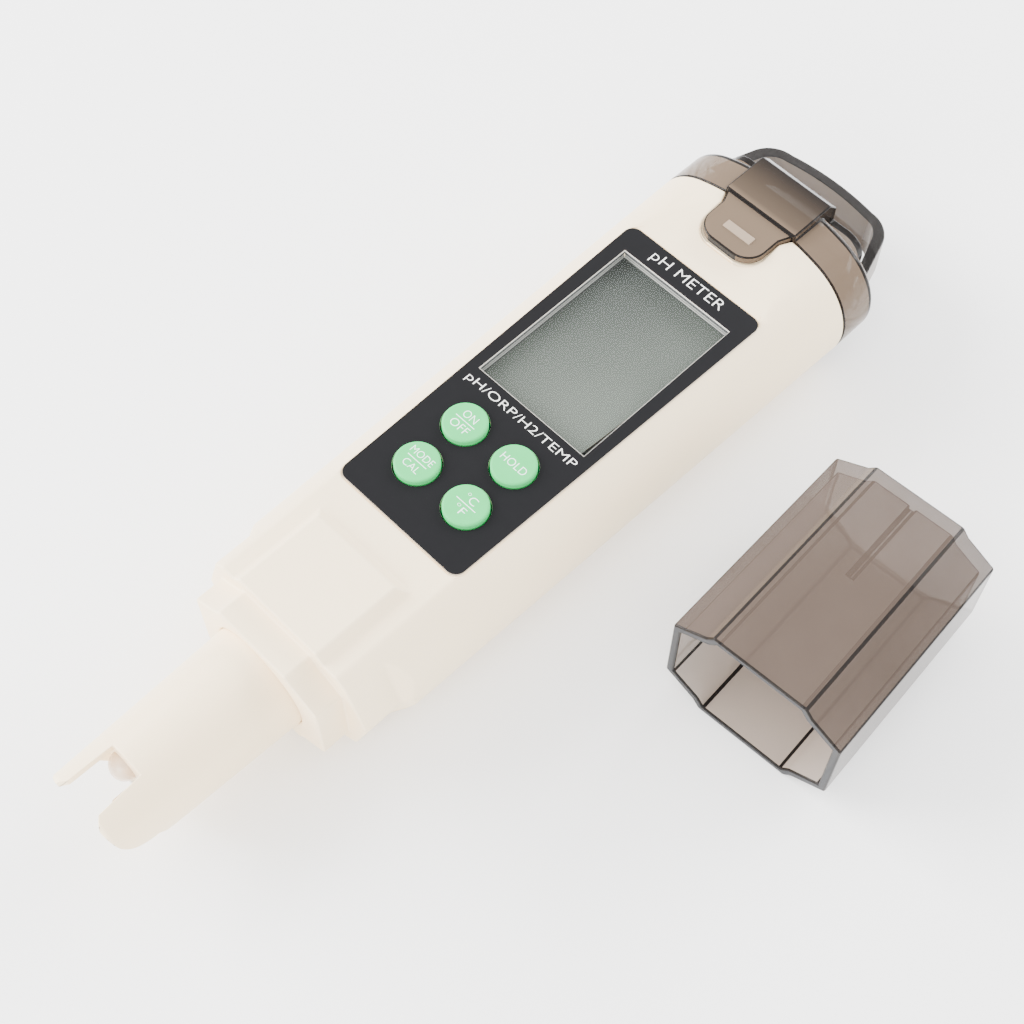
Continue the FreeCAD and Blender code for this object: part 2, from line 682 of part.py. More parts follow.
def tact_switches():
    """Four switches; each key post enters the well over its switch's dome."""
    half = SWITCH_SIZE / 2
    switches = []
    for x in KEY_XS:
        for y in KEY_YS:
            body = box(x - half, x + half, y - half, y + half, BOARD_Z1, BOARD_Z1 + SWITCH_H)
            floor_z = BOARD_Z1 + SWITCH_H - KEY_POST_DIP - KEY_TRAVEL - KEY_GAP
            well = rod_z(x, y, KEY_POST_R + KEY_GAP, floor_z, BOARD_Z1 + SWITCH_H + 1)
            switches.append(body.cut(well))
    return Part.makeCompound(switches)


def inner_carrier():
    """The tray that holds the board and slides into the housing from the cap end."""
    floor_z = FACE_Z - CARRIER_FLOOR_DEPTH
    y0 = BOARD_LOW_Y
    y1 = BOARD_TOP_Y
    tray = box(-CARRIER_HALF_W, CARRIER_HALF_W, y0, y1, floor_z - CARRIER_T, BOARD_Z1 + CARRIER_TOP)
    slot_x = BOARD_HALF_W + BOARD_GAP
    tray = tray.cut(box(-slot_x, slot_x, y0 - 1, y1 + 1, BOARD_Z0, BOARD_Z1 + CARRIER_TOP + 1))
    room_x = BOARD_HALF_W - CARRIER_LIP
    tray = tray.cut(box(-room_x, room_x, y0 - 1, y1 + 1, floor_z, BOARD_Z1))
    for x, y in screw_places():
        tray = tray.fuse(rod_z(x, y, POST_R, floor_z, BOARD_Z0))
        tray = tray.cut(rod_z(x, y, SCREW_R, BOARD_Z0 - SCREW_DEPTH, BOARD_Z0 + 1))
    return tray.removeSplitter()


def board_screws():
    screws = []
    half = SCREW_SLOT / 2
    head_z = BOARD_Z1 + SCREW_HEAD_T
    for x, y in screw_places():
        shank = rod_z(x, y, SCREW_R, BOARD_Z0 - SCREW_DEPTH, BOARD_Z1)
        head = rod_z(x, y, SCREW_HEAD_R, BOARD_Z1, head_z)
        slot = box(x - SCREW_HEAD_R, x + SCREW_HEAD_R, y - half, y + half, head_z - SCREW_SLOT, head_z + 1)
        screws.append(shank.fuse(head).cut(slot).removeSplitter())
    return Part.makeCompound(screws)


# ---- battery room -------------------------------------------------------------------
def button_cells():
    """A row of equal cells lying side by side across the housing."""
    cells = []
    can_t = CELL_T - CELL_CAP_T
    for i in range(CELL_COUNT):
        x0 = -CELL_STACK / 2 + i * CELL_T
        can = Part.makeCylinder(CELL_R, can_t, V(x0, CELL_Y, AXIS_Z), V(1, 0, 0))
        end_at = V(x0 + can_t, CELL_Y, AXIS_Z)
        end = Part.makeCylinder(CELL_R - CELL_CAP_INSET, CELL_CAP_T, end_at, V(1, 0, 0))
        cells.append(can.fuse(end).removeSplitter())
    return Part.makeCompound(cells)


def contact(x0):
    half = CONTACT_HALF
    return box(x0, x0 + CONTACT_T, CELL_Y - half, CELL_Y + half, AXIS_Z - half, AXIS_Z + half)


def contact_plate():
    return contact(-CELL_STACK / 2 - CONTACT_T)


def contact_leaf():
    """A sprung leaf: a base plate and a bowed tongue that presses on the last cell."""
    x0 = CELL_STACK / 2
    base_x = x0 + LEAF_BOW
    half = CONTACT_HALF - CONTACT_T

    def bow(shift):
        near = base_x + shift
        ends_at = V(near, CELL_Y - half, 0), V(near, CELL_Y + half, 0)
        return Part.Arc(ends_at[0], V(x0 + shift, CELL_Y, 0), ends_at[1]).toShape()

    outer, inner = bow(0), bow(CONTACT_T)
    ends = [Part.makeLine(outer.Vertexes[i].Point, inner.Vertexes[i].Point) for i in (0, 1)]
    outline = Part.Wire([outer, ends[1], inner, ends[0]])
    strip = plan_prism(outline, AXIS_Z - LEAF_HALF_W, AXIS_Z + LEAF_HALF_W)
    return contact(base_x).fuse(strip).removeSplitter()


def battery_holder():
    """An open cradle: a floor, two ends and a back wall."""
    inner_x = CELL_STACK / 2 + LEAF_BOW + CONTACT_T
    half_x = inner_x + HOLDER_T
    y1 = CELL_Y + CELL_R - HOLDER_OPEN
    floor_z = AXIS_Z - CELL_R - CELL_GAP
    z1 = AXIS_Z + HOLDER_SIDE_H
    holder = box(-half_x, half_x, HOLDER_Y0, y1, floor_z - HOLDER_T, z1)
    room = box(-CELL_STACK / 2 - CONTACT_T, inner_x, HOLDER_Y0 + HOLDER_T, y1 + 1, floor_z, z1 + 1)
    return holder.cut(room)


def battery_leads():
    """Two stiff leads from the holder's ends forward to the board."""
    leads = []
    for x in (-CELL_STACK / 2 - CONTACT_T / 2, CELL_STACK / 2 + LEAF_BOW + CONTACT_T / 2):
        leads.append(rod_y(x, BOARD_Z1 + LEAD_R, LEAD_R, BOARD_TOP_Y - 1, HOLDER_Y0))
    return Part.makeCompound(leads)


# ---- battery cap --------------------------------------------------------------------
def cap_platform():
    """The end of the cap, a raised band front and back with a rounded block under it."""
    block = box(-PLATFORM_HALF_W, PLATFORM_HALF_W, CAP_Y1 - CAP_EDGE_R, PLATFORM_Y1,
                AXIS_Z - PLATFORM_HALF_H, AXIS_Z + PLATFORM_HALF_H)
    upright = [e for e in block.Edges if abs(e.tangentAt(e.FirstParameter).y) > 0.9]
    block = block.makeFillet(PLATFORM_R, upright)
    top_z = CROWN_Z + BAND_RISE
    band = box(-BAND_HALF_W, BAND_HALF_W, BODY_Y1 + SEAM_GAP, PLATFORM_Y1, 0, top_z)
    front = [e for e in band.Edges
             if e.CenterOfMass.y > PLATFORM_Y1 - 0.01 and e.CenterOfMass.z > top_z - 0.01]
    return block.fuse(band.makeChamfer(BAND_CHAMFER, front))


def cap_shell():
    """The oval cap: skirt, end platform, spigot with its ring groove, and latch tongue."""
    y0 = BODY_Y1 + SEAM_GAP
    edge_y = CAP_Y1 - CAP_EDGE_R
    shell = solid_between([oval(y0, 0), oval(edge_y, 0, CAP_DRAW)])
    shell = shell.fuse(solid_between([oval(edge_y, 0, CAP_DRAW), oval(CAP_Y1, 0, CAP_DRAW + CAP_EDGE_R)]))
    shell = shell.fuse(cap_platform())
    shell = shell.cut(box(-BIG, BIG, -BIG, BIG, -BIG, 0))
    shell = shell.fuse(cavity(BODY_Y1 - SPIGOT_LEN, y0 + SPIGOT_ROOT, SPIGOT_INSET))
    shell = shell.cut(cavity(BODY_Y1 - SPIGOT_LEN - 1, CAP_Y1 - CAP_END_T, SPIGOT_INSET + SPIGOT_WALL))
    inner_x = PLATFORM_HALF_W - PLATFORM_WALL
    inner_h = PLATFORM_HALF_H - PLATFORM_WALL
    shell = shell.cut(box(-inner_x, inner_x, y0, PLATFORM_Y1 - CAP_END_T, AXIS_Z - inner_h, AXIS_Z + inner_h))
    groove = cavity(RING_Y - RING_R, RING_Y + RING_R, 0)
    groove = groove.cut(cavity(RING_Y - 2 * RING_R, RING_Y + 2 * RING_R, SPIGOT_INSET + RING_R))
    shell = shell.cut(groove)
    return shell.fuse(tongue(0, CROWN_Z - TONGUE_T, CROWN_Z))


def seal_ring():
    """The rubber ring that sits in the spigot's groove, just clear of the housing."""
    outer = cavity(RING_Y - RING_R, RING_Y + RING_R, WALL + RING_GAP)
    return outer.cut(cavity(RING_Y - 2 * RING_R, RING_Y + 2 * RING_R, SPIGOT_INSET + RING_R))


def loop_outline(inset):
    """The strap loop seen from the front, a rounded trapezoid with a crowned end."""
    foot_y = CAP_Y1 - LOOP_ROOT
    end_y = CAP_Y1 + LOOP_LEN - inset
    shoulder_y = end_y - LOOP_CROWN
    root = LOOP_ROOT_HALF_W - inset
    tip = LOOP_TIP_HALF_W - inset
    r = LOOP_CORNER_R - inset
    half_turn = (math.pi - math.atan2(shoulder_y - foot_y, root - tip)) / 2
    side = V(root - tip, foot_y - shoulder_y, 0).normalize()
    corner = V(tip, shoulder_y, 0)
    on_side = corner + side * (r / math.tan(half_turn))
    on_end = corner - V(r / math.tan(half_turn), 0, 0)
    inward = (side + V(-1, 0, 0)).normalize()
    apex = corner + inward * (r / math.sin(half_turn) - r)

    def left(p):
        return V(-p.x, p.y, 0)

    foot = V(root, foot_y, 0)
    return Part.Wire([
        Part.makeLine(left(foot), foot),
        Part.makeLine(foot, on_side),
        Part.Arc(on_side, apex, on_end).toShape(),
        Part.Arc(on_end, V(0, end_y, 0), left(on_end)).toShape(),
        Part.Arc(left(on_end), left(apex), left(on_side)).toShape(),
        Part.makeLine(left(on_side), left(foot)),
    ])


def strap_loop():
    z0 = AXIS_Z - LOOP_HALF_H
    z1 = AXIS_Z + LOOP_HALF_H
    return plan_prism(loop_outline(0), z0, z1).cut(plan_prism(loop_outline(LOOP_T), z0 - 1, z1 + 1))


def battery_cap():
    return cap_shell().fuse(strap_loop()).removeSplitter()


# ---- loose probe cap ----------------------------------------------------------------
def probe_cap():
    """A clear eight-sided cap with draft, open at the end that meets the collar."""
    mouth = PCAP_GAP + PCAP_WALL
    end_y = BODY_Y0 - PCAP_LEN
    inner_end = end_y + PCAP_WALL
    draft = PCAP_DRAFT
    inner_draft = draft * (PCAP_LEN - PCAP_WALL) / PCAP_LEN
    outer = solid_between([polygon_xz(seat_points(mouth - draft), end_y),
                           polygon_xz(seat_points(mouth), BODY_Y0)])
    inner = solid_between([polygon_xz(seat_points(PCAP_GAP - inner_draft), inner_end),
                           polygon_xz(seat_points(PCAP_GAP), BODY_Y0 + 0.01)])
    cap = outer.cut(inner)
    roof = AXIS_Z + SEAT_BAND_H + PCAP_GAP
    rib = box(-PCAP_RIB_W / 2, PCAP_RIB_W / 2, end_y + PCAP_WALL / 2, inner_end + PCAP_RIB_LEN,
              roof - PCAP_RIB_H - draft / 2, roof + PCAP_WALL - draft)
    cap = cap.fuse(rib).removeSplitter()
    # from its place over the probe it is turned about and laid beside the meter
    rest_z = SEAT_BAND_H + PCAP_GAP + PCAP_WALL
    cap.translate(V(0, -BODY_Y0, -AXIS_Z))
    cap.rotate(V(0, 0, 0), V(0, 0, 1), 180 + PCAP_YAW)
    cap.translate(V(PCAP_MOUTH[0], PCAP_MOUTH[1], rest_z))
    return cap


# ---- write every sub-part -----------------------------------------------------------
os.makedirs("parts", exist_ok=True)

save("housing", housing())
save("probe_tube", probe_tube())
save("tube_gasket", tube_gasket())
save("sensor_plug", plug_body())
save("glass_bulb", glass_bulb())
save("glass_stem", glass_stem())
save("silver_wire", silver_wire())
save("redox_electrode", pin(ORP_AT, ORP_R, ORP_REACH))
save("temperature_pin", pin(TEMP_AT, TEMP_R, TEMP_REACH))
save("reference_junction", junction())
save("sensor_leads", sensor_leads())
save("front_film", front_film())
save("display_window", display_window())
save("keypad_mat", keypad_mat())
for key_name, key_x, key_y in (("key_power", KEY_XS[0], KEY_YS[0]), ("key_hold", KEY_XS[1], KEY_YS[0]),
                               ("key_mode", KEY_XS[0], KEY_YS[1]), ("key_units", KEY_XS[1], KEY_YS[1])):
    save(key_name, key(key_x, key_y))
save("lcd_glass", lcd_glass())
save("lcd_reflector", lcd_reflector())
save("lcd_frame", lcd_frame())
save("contact_strips", contact_strips())
save("main_board", main_board())
save("board_chips", board_chips())
save("tact_switches", tact_switches())
save("inner_carrier", inner_carrier())
save("board_screws", board_screws())
save("button_cells", button_cells())
save("contact_plate", contact_plate())
save("contact_leaf", contact_leaf())
save("battery_holder", battery_holder())
save("battery_leads", battery_leads())
save("battery_cap", battery_cap())
save("cap_seal_ring", seal_ring())
save("probe_cap", probe_cap())
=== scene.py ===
# %% [markdown]
# # A pocket pH meter and its loose probe cap
# A pen-shaped water tester: a cream moulded housing, a dark printed front with a display and four
# soft keys, a forked probe at one end, and a smoky battery cap with a strap loop at the other.  Its
# smoky probe cap lies beside it.  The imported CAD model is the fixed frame.  It sets every size and
# place, and the pieces made here give the soft edges, prints and finishes that the frame leaves out.

# %% Load the frame
import math
import bmesh
import bpy
from mathutils import Matrix, Vector


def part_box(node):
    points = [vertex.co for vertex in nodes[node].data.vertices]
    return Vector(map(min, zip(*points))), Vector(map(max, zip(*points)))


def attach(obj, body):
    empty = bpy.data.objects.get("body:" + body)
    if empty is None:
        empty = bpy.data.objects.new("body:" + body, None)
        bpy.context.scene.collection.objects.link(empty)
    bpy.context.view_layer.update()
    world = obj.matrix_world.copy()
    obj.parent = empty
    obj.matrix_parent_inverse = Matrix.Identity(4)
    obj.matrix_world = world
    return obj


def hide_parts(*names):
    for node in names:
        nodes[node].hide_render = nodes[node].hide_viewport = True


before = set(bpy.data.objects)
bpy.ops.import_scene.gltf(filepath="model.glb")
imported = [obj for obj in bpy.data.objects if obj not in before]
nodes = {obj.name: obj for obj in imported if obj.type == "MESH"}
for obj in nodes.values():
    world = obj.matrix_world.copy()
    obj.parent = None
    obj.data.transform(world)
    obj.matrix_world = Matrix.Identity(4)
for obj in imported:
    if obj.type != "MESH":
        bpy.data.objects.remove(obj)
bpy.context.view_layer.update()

MM = 0.001

# %% [markdown]
# ## Camera
# The meter is seen from above and from its lower right, with a lens that is a little longer than
# normal.  A camera could be dragged into place, but then every change of angle moves the framing as
# well.  Here the view is an aim point on the front face, two angles and a distance, so that each can
# be changed by itself.

# %% Camera
AIM = Vector((11.68, -16.71, 25.7)) * MM
AZIMUTH = math.radians(45.43)
ELEVATION = math.radians(60.23)
DISTANCE = 285 * MM
LENS = 61.17


def linked(name, data):
    """A new object that holds data, at the origin and in the scene."""
    made = bpy.data.objects.new(name, data)
    bpy.context.scene.collection.objects.link(made)
    return made


back = Vector((math.sin(AZIMUTH) * math.cos(ELEVATION), -math.cos(AZIMUTH) * math.cos(ELEVATION),
               math.sin(ELEVATION)))
camera_data = bpy.data.cameras.new("camera")
camera_data.lens = LENS
camera_data.sensor_width = 36
camera_data.clip_start = 0.01
camera = linked("camera", camera_data)
camera.location = AIM + back * DISTANCE
camera.rotation_mode = "QUATERNION"
camera.rotation_quaternion = (-back).to_track_quat("-Z", "Y")
bpy.context.scene.camera = camera
print("camera", tuple(round(v, 4) for v in camera.location))


# %% [markdown]
# ## Shader sums as Python sums
# Blender's shaders are graphs of nodes.  They could be wired one link at a time, but that hides what
# they work out.  Here a small class wraps one socket, and adding or multiplying two wrapped sockets
# adds the Math node that does it, so a material reads like the sum that it is.

# %% Shader helper
class Socket:
    """One output socket, with the arithmetic that materials use."""

    def __init__(self, graph, output):
        self.graph = graph
        self.output = output

    def sibling(self, key):
        """Another output of the node that this one belongs to."""
        return Socket(self.graph, self.output.node.outputs[key])

    def math(self, operation, *others, clamp=False):
        node = self.graph.tree.nodes.new("ShaderNodeMath")
        node.operation = operation
        node.use_clamp = clamp
        for slot, value in zip(node.inputs, (self, *others)):
            self.graph.feed(slot, value)
        return Socket(self.graph, node.outputs[0])

    def clamped(self):
        return self.math("ADD", 0.0, clamp=True)

    def __add__(self, other):
        return self.math("ADD", other)

    def __sub__(self, other):
        return self.math("SUBTRACT", other)

    def __mul__(self, other):
        return self.math("MULTIPLY", other)

    def __rsub__(self, other):
        return (self * -1.0) + other

    __radd__ = __add__
    __rmul__ = __mul__


class Graph:
    """A material's nodes.  call() adds one node from its type, its settings and its inputs."""

    def __init__(self, name):
        self.material = bpy.data.materials.new(name)
        self.material.use_nodes = True
        self.tree = self.material.node_tree
        self.shader = self.tree.nodes["Principled BSDF"]
        self.place = self.call("ShaderNodeTexCoord").sibling("Object")

    def feed(self, slot, value):
        if isinstance(value, Socket):
            self.tree.links.new(value.output, slot)
        else:
            slot.default_value = value

    def call(self, kind, settings=None, **inputs):
        node = self.tree.nodes.new(kind)
        for key, value in (settings or {}).items():
            setattr(node, key, value)
        for key, value in inputs.items():
            self.feed(node.inputs[key.replace("_", " ")], value)
        return Socket(self, node.outputs[0])

    def noise(self, scale, detail=2.0):
        """Soft noise on the piece's own coordinates, with scale in waves per metre."""
        return self.call("ShaderNodeTexNoise", Vector=self.place, Scale=scale, Detail=detail)

    def along(self, axis):
        """The place along one axis, X, Y or Z, in metres."""
        return self.call("ShaderNodeSeparateXYZ", Vector=self.place).sibling(axis)

    def between(self, low, high, factor):
        """A colour that runs from low to high as factor goes from 0 to 1.

        The Mix node keeps one set of sockets for each kind of data, so the colour ones go by number.
        """
        node = self.tree.nodes.new("ShaderNodeMix")
        node.data_type = "RGBA"
        self.feed(node.inputs[0], factor)
        self.feed(node.inputs[6], low)
        self.feed(node.inputs[7], high)
        return Socket(self, node.outputs[2])

    def bump(self, height, distance, strength):
        return self.call("ShaderNodeBump", Height=height, Distance=distance, Strength=strength)

    def finish(self, **inputs):
        for key, value in inputs.items():
            self.feed(self.shader.inputs[key.replace("_", " ")], value)
        return self.material


def rgb(r, g, b):
    """A colour from the 0 to 255 numbers of a colour picker, made linear for the shader."""
    linear = [(c / 255) / 12.92 if c <= 10 else ((c / 255 + 0.055) / 1.055) ** 2.4
              for c in (r, g, b)]
    return (*linear, 1.0)


def ramp(value, start, stop):
    """0 below start and 1 above stop, straight in between."""
    return (value * (1 / (stop - start)) - start / (stop - start)).clamped()


print("a grey of 128 is", round(rgb(128, 128, 128)[0], 3), "in the shader's linear light")


# %% [markdown]
# ## Moulded plastic
# The housing is an opaque cream plastic with a fine satin skin.  It could be one flat colour, but real
# moulded skin is never perfectly even.  Broad, very faint shifts of colour, a faint mottling of the
# gloss and a fine grain keep it from looking like painted air, and noise on the piece's own
# coordinates gives all three without a texture to unwrap.

# %% Cream plastics
def moulded(name, light, dark, roughness, grain):
    """Satin plastic: light and dark are close colours, grain is the depth of its skin in metres."""
    g = Graph(name)
    mottle = g.noise(420)
    return g.finish(
        Base_Color=g.between(light, dark, g.noise(35, 1.5)),
        Roughness=roughness - 0.04 + mottle * 0.08,
        Specular_IOR_Level=0.45,
        Normal=g.bump(g.noise(2600, 3.0), grain, 0.35),
    )


cream = moulded("cream_plastic", rgb(252, 232, 198), rgb(248, 226, 189), 0.42, 0.02 * MM)
probe_cream = moulded("probe_plastic", rgb(253, 232, 197), rgb(249, 226, 187), 0.36, 0.01 * MM)
white_plastic = moulded("white_plastic", rgb(228, 228, 222), rgb(219, 219, 214), 0.5, 0.02 * MM)
black_plastic = moulded("black_plastic", rgb(34, 34, 36), rgb(26, 26, 28), 0.45, 0.02 * MM)
print("moulded plastics made")


# %% [markdown]
# ## Smoky clear plastic
# Both caps are a tinted clear plastic.  Light goes straight through a wall and loses a share of itself
# with every millimetre, so the walls look grey-brown and their edges, seen the long way through, look
# almost black.  A true absorbing volume would need many bounces of light and doesn't survive an
# export.  A surface that stops part of the light gives the same look, with denser finishes for the
# corners and the cut rim, and a paler one for the inner faces.  A low index of refraction keeps the
# gloss soft on both sides of a wall.

# %% Smoky plastic
SMOKE_IOR = 1.22


def smoky(name, colour, shade, haze):
    """haze is the share of light that one face of the wall stops."""
    g = Graph(name)
    streaks = g.noise(60)
    return g.finish(
        Base_Color=g.between(colour, shade, streaks),
        Roughness=0.1 + streaks * 0.08,
        IOR=SMOKE_IOR,
        Alpha=haze + streaks * 0.06,
    )


smoke = smoky("smoke_plastic", rgb(80, 68, 61), rgb(70, 59, 52), 0.8)
# The inner faces are paler: painted light for the light that the walls let into the cap.
smoke_inside_painted_light = smoky("smoke_inner_face_painted_light", rgb(204, 188, 174), rgb(190, 174, 160), 0.42)
smoke_corner = smoky("smoke_corner", rgb(24, 21, 20), rgb(19, 16, 15), 0.9)
# The rim's cool grey is a painted reflection of the pale room.
smoke_rim_painted_reflection = smoky("smoke_rim_painted_reflection", rgb(44, 45, 48), rgb(38, 39, 42), 0.9)
smoke_catch = smoky("smoke_catch", rgb(164, 146, 128), rgb(152, 134, 116), 0.75)
print("smoky plastic made")

# %% [markdown]
# ## The battery cap's smoke
# Where the cap lies on the cream housing it looks tan, and it is much darker over the latch, where the
# plastic is thick.  The cap could be cut into two pieces with two finishes, but the change is soft.
# So one finish reads the place on the piece, in millimetres, and darkens along that band.

# %% Smoky plastic with a dark band
BAND_SIDE = (8.2 * MM, 9.2 * MM)       # across, where the band fades out
BAND_HEIGHT = (21 * MM, 22 * MM)       # the band is on the cap's front only
BAND_START = (57.6 * MM, 58.8 * MM)    # along, where the band fades in
BAND_DEEPENS = (59.0 * MM, 66.5 * MM)  # along, where it turns darker still


def battery_smoke():
    g = Graph("smoke_battery")
    x, y, z = (g.along(axis) for axis in "XYZ")
    streaks = g.noise(90)
    on_band = (1 - ramp(x.math("ABSOLUTE"), *BAND_SIDE)) * ramp(z, *BAND_HEIGHT)
    band = on_band * (0.5 + ramp(y, *BAND_DEEPENS) * 0.4) * ramp(y, *BAND_START)
    dark = (band + streaks * 0.08).clamped()
    return g.finish(
        Base_Color=g.between(rgb(108, 92, 77), rgb(24, 21, 20), dark),
        Roughness=0.1 + streaks * 0.08,
        IOR=SMOKE_IOR,
        Alpha=0.78 + dark * 0.2,
    )


smoke_battery = battery_smoke()
print("battery cap's smoke made")


# %% [markdown]
# ## Rubber, ink, metal and board
# The keys are silicone rubber, the front is printed film, and inside are steel, nickel, resin and a
# circuit board.  Each could have a shader of its own, but at this size they differ only in colour,
# gloss, metalness and grain.  So one function with those settings serves them all.

# %% General finishes
def satin(name, colour, shade, roughness, scale=300.0, metallic=0.0, **extra):
    """A general finish with a close second colour, uneven gloss and a slight grain."""
    g = Graph(name)
    cloud = g.noise(scale, 3.0)
    return g.finish(
        Base_Color=g.between(colour, shade, cloud),
        Roughness=roughness - 0.05 + cloud * 0.1,
        Metallic=metallic,
        Normal=g.bump(g.noise(scale * 8), 0.01 * MM, 0.4),
        **extra,
    )


mint = satin("mint_rubber", rgb(58, 190, 108), rgb(50, 180, 98), 0.5, Specular_IOR_Level=0.15)
film = satin("film_print", rgb(20, 20, 22), rgb(16, 16, 18), 0.42, 500.0, Specular_IOR_Level=0.1)
film_edge = satin("film_cut_edge", rgb(196, 186, 172), rgb(180, 170, 156), 0.3)
ink = satin("white_ink", rgb(236, 236, 232), rgb(226, 226, 222), 0.5)
key_ink = satin("key_ink", rgb(245, 255, 250), rgb(238, 250, 244), 0.5)
rubber = satin("seal_rubber", rgb(30, 30, 30), rgb(24, 24, 24), 0.6)
board = satin("board_mask", rgb(30, 96, 58), rgb(24, 84, 50), 0.35)
steel = satin("bright_steel", rgb(190, 190, 192), rgb(176, 176, 178), 0.3, 900.0, 1.0)
nickel = satin("nickel_plate", rgb(205, 202, 194), rgb(194, 190, 182), 0.2, 500.0, 1.0)
amber = satin("amber_epoxy", rgb(190, 160, 120), rgb(170, 138, 98), 0.25)
ceramic = satin("porous_ceramic", rgb(232, 230, 224), rgb(214, 212, 206), 0.8, 2000.0)
red_wire = satin("red_insulation", rgb(170, 40, 30), rgb(150, 34, 26), 0.4)
print("general finishes made")


# %% [markdown]
# ## Display, glass and window well
# An unpowered display is a flat grey-green, a little darker at the end that its well shades.  It could
# be left to the lights, but a soft room casts too little of that shade, so the colour runs along the
# piece.  The clear pane and the glass bulb are mostly see-through.  The walls of the window show as
# thin bands of colour, which are read from the height.

# %% Display and clear finishes
def shaded_display():
    g = Graph("display_layer")
    shade = (g.along("Y") * 16.0 - g.along("X") * 22.0 + g.noise(60.0) * 0.3).math(
        "ADD", 0.05, clamp=True)
    return g.finish(Base_Color=g.between(rgb(92, 98, 91), rgb(58, 62, 59), shade), Roughness=0.5,
                    Specular_IOR_Level=0.1)


def clear(name, tint, alpha, coat):
    """Thin clear glass or acrylic: mostly see-through, with a bright gloss."""
    g = Graph(name)
    smear = g.noise(90)
    return g.finish(
        Base_Color=tint,
        Roughness=0.03 + smear * 0.04,
        IOR=1.5,
        Coat_Weight=coat,
        Coat_Roughness=0.02,
        Alpha=alpha + smear * 0.02,
    )


def banded(name, lowest, bands):
    """Bands of colour by height: the lowest one, then (height in mm, colour) from there up."""
    g = Graph(name)
    height = g.along("Z")
    colour = lowest
    for level, shade in bands:
        colour = g.between(colour, shade, height.math("GREATER_THAN", level * MM))
    return g.finish(Base_Color=colour, Roughness=0.25 + g.noise(400.0) * 0.1)


display = shaded_display()
pane = clear("clear_pane", rgb(90, 94, 92), 0.02, 0.0)
bulb_glass = clear("bulb_glass", rgb(246, 226, 204), 0.6, 0.4)
well_finish = banded("window_well_bands", rgb(60, 62, 60), [
    (23.95, rgb(196, 197, 192)), (24.2, rgb(112, 113, 108)), (24.55, rgb(170, 171, 166)),
    (24.85, rgb(74, 75, 76)), (25.55, rgb(214, 213, 206))])
print("display, pane, bulb and well finishes made")

# %% [markdown]
# ## Finishes on the CAD nodes
# Most of the inner parts keep the shape that the CAD gives them.  They could be modelled again with
# soft edges, but the housing hides them.  They only need the right finish, which is given by swapping
# the material in the node's own slot.

# %% Finish every node
FINISH = {
    "housing": cream, "probe_tube": probe_cream, "sensor_plug": probe_cream, "tube_gasket": rubber,
    "glass_bulb": bulb_glass, "glass_stem": bulb_glass, "silver_wire": steel,
    "redox_electrode": amber, "temperature_pin": steel, "reference_junction": ceramic,
    "sensor_leads": red_wire, "front_film": film, "display_window": pane, "keypad_mat": mint,
    "key_power": mint, "key_hold": mint, "key_mode": mint, "key_units": mint,
    "lcd_glass": display, "lcd_reflector": display, "lcd_frame": white_plastic,
    "contact_strips": white_plastic, "main_board": board, "board_chips": black_plastic,
    "tact_switches": black_plastic, "inner_carrier": white_plastic, "board_screws": steel,
    "button_cells": nickel, "contact_plate": nickel, "contact_leaf": nickel,
    "battery_holder": black_plastic, "battery_leads": red_wire, "battery_cap": smoke,
    "cap_seal_ring": rubber, "probe_cap": smoke,
}
for name, finish in FINISH.items():
    nodes[name].data.materials.clear()
    nodes[name].data.materials.append(finish)
print(len(FINISH), "nodes finished;", sorted(set(nodes) - set(FINISH)), "left")

# %% [markdown]
# ## Copying a CAD piece and rounding its edges
# A mould is never cut with perfectly sharp corners, and it is the thin highlight along a rounded edge
# that makes plastic look like plastic.  A Bevel modifier could do it, but the CAD piece arrives as
# loose triangles, and a bevel would follow every one of them.  So a copy is merged first, its flat
# areas are dissolved back into single faces, and only the edges that still meet at a clear angle are
# bevelled.  The copy is then shown in the CAD piece's place.

# %% Helpers for copied pieces
WELD = 0.002 * MM
FLAT_ANGLE = math.radians(0.6)
HARD_ANGLE = 28
SOFT_SHADE_ANGLE = 38


def merged_copy(node):
    bm = bmesh.new()
    bm.from_mesh(nodes[node].data)
    bmesh.ops.remove_doubles(bm, verts=bm.verts, dist=WELD)
    bmesh.ops.dissolve_limit(bm, angle_limit=FLAT_ANGLE, verts=bm.verts, edges=bm.edges)
    for face in bm.faces:
        face.material_index = 0
    return bm


def hard_edges(bm, angle=HARD_ANGLE):
    limit = math.radians(angle)
    return [e for e in bm.edges if len(e.link_faces) == 2 and e.calc_face_angle(0) > limit]


def round_edges(bm, edges, width, segments=3):
    made = bmesh.ops.bevel(bm, geom=edges, offset=width, offset_type="OFFSET", affect="EDGES",
                           segments=segments, profile=0.5, material=-1, clamp_overlap=False)
    return made["faces"]


def placed(bm, name, materials, body):
    """Turn a bmesh into a piece that rides on a body."""
    mesh = bpy.data.meshes.new(name)
    bm.to_mesh(mesh)
    bm.free()
    for material in materials:
        mesh.materials.append(material)
    piece = linked(name, mesh)
    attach(piece, body)
    return piece


def smooth_finish(piece, angle=SOFT_SHADE_ANGLE):
    """Smooth shading across the roundings, with big flat faces kept flat."""
    for face in piece.data.polygons:
        face.use_smooth = True
    piece.data.set_sharp_from_angle(angle=math.radians(angle))
    weighted = piece.modifiers.new("flat faces lead", "WEIGHTED_NORMAL")
    weighted.keep_sharp = True
    weighted.weight = 60


print("edges that turn more than", HARD_ANGLE, "degrees count as hard")

# %% [markdown]
# ## Housing and probe tube
# Both are thick cream mouldings with soft corners.  They could be modelled from nothing, but the CAD
# holds every step, collar and slot of them already.  A rounded copy keeps those sizes.  The housing's
# corners are rounder than those of the probe, whose prongs are thin.

# %% Housing
bm = merged_copy("housing")
round_edges(bm, hard_edges(bm), 0.42 * MM)
housing = placed(bm, "housing_shell", [cream], "meter")
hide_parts("housing")
smooth_finish(housing)
print("housing", len(housing.data.polygons), "faces")

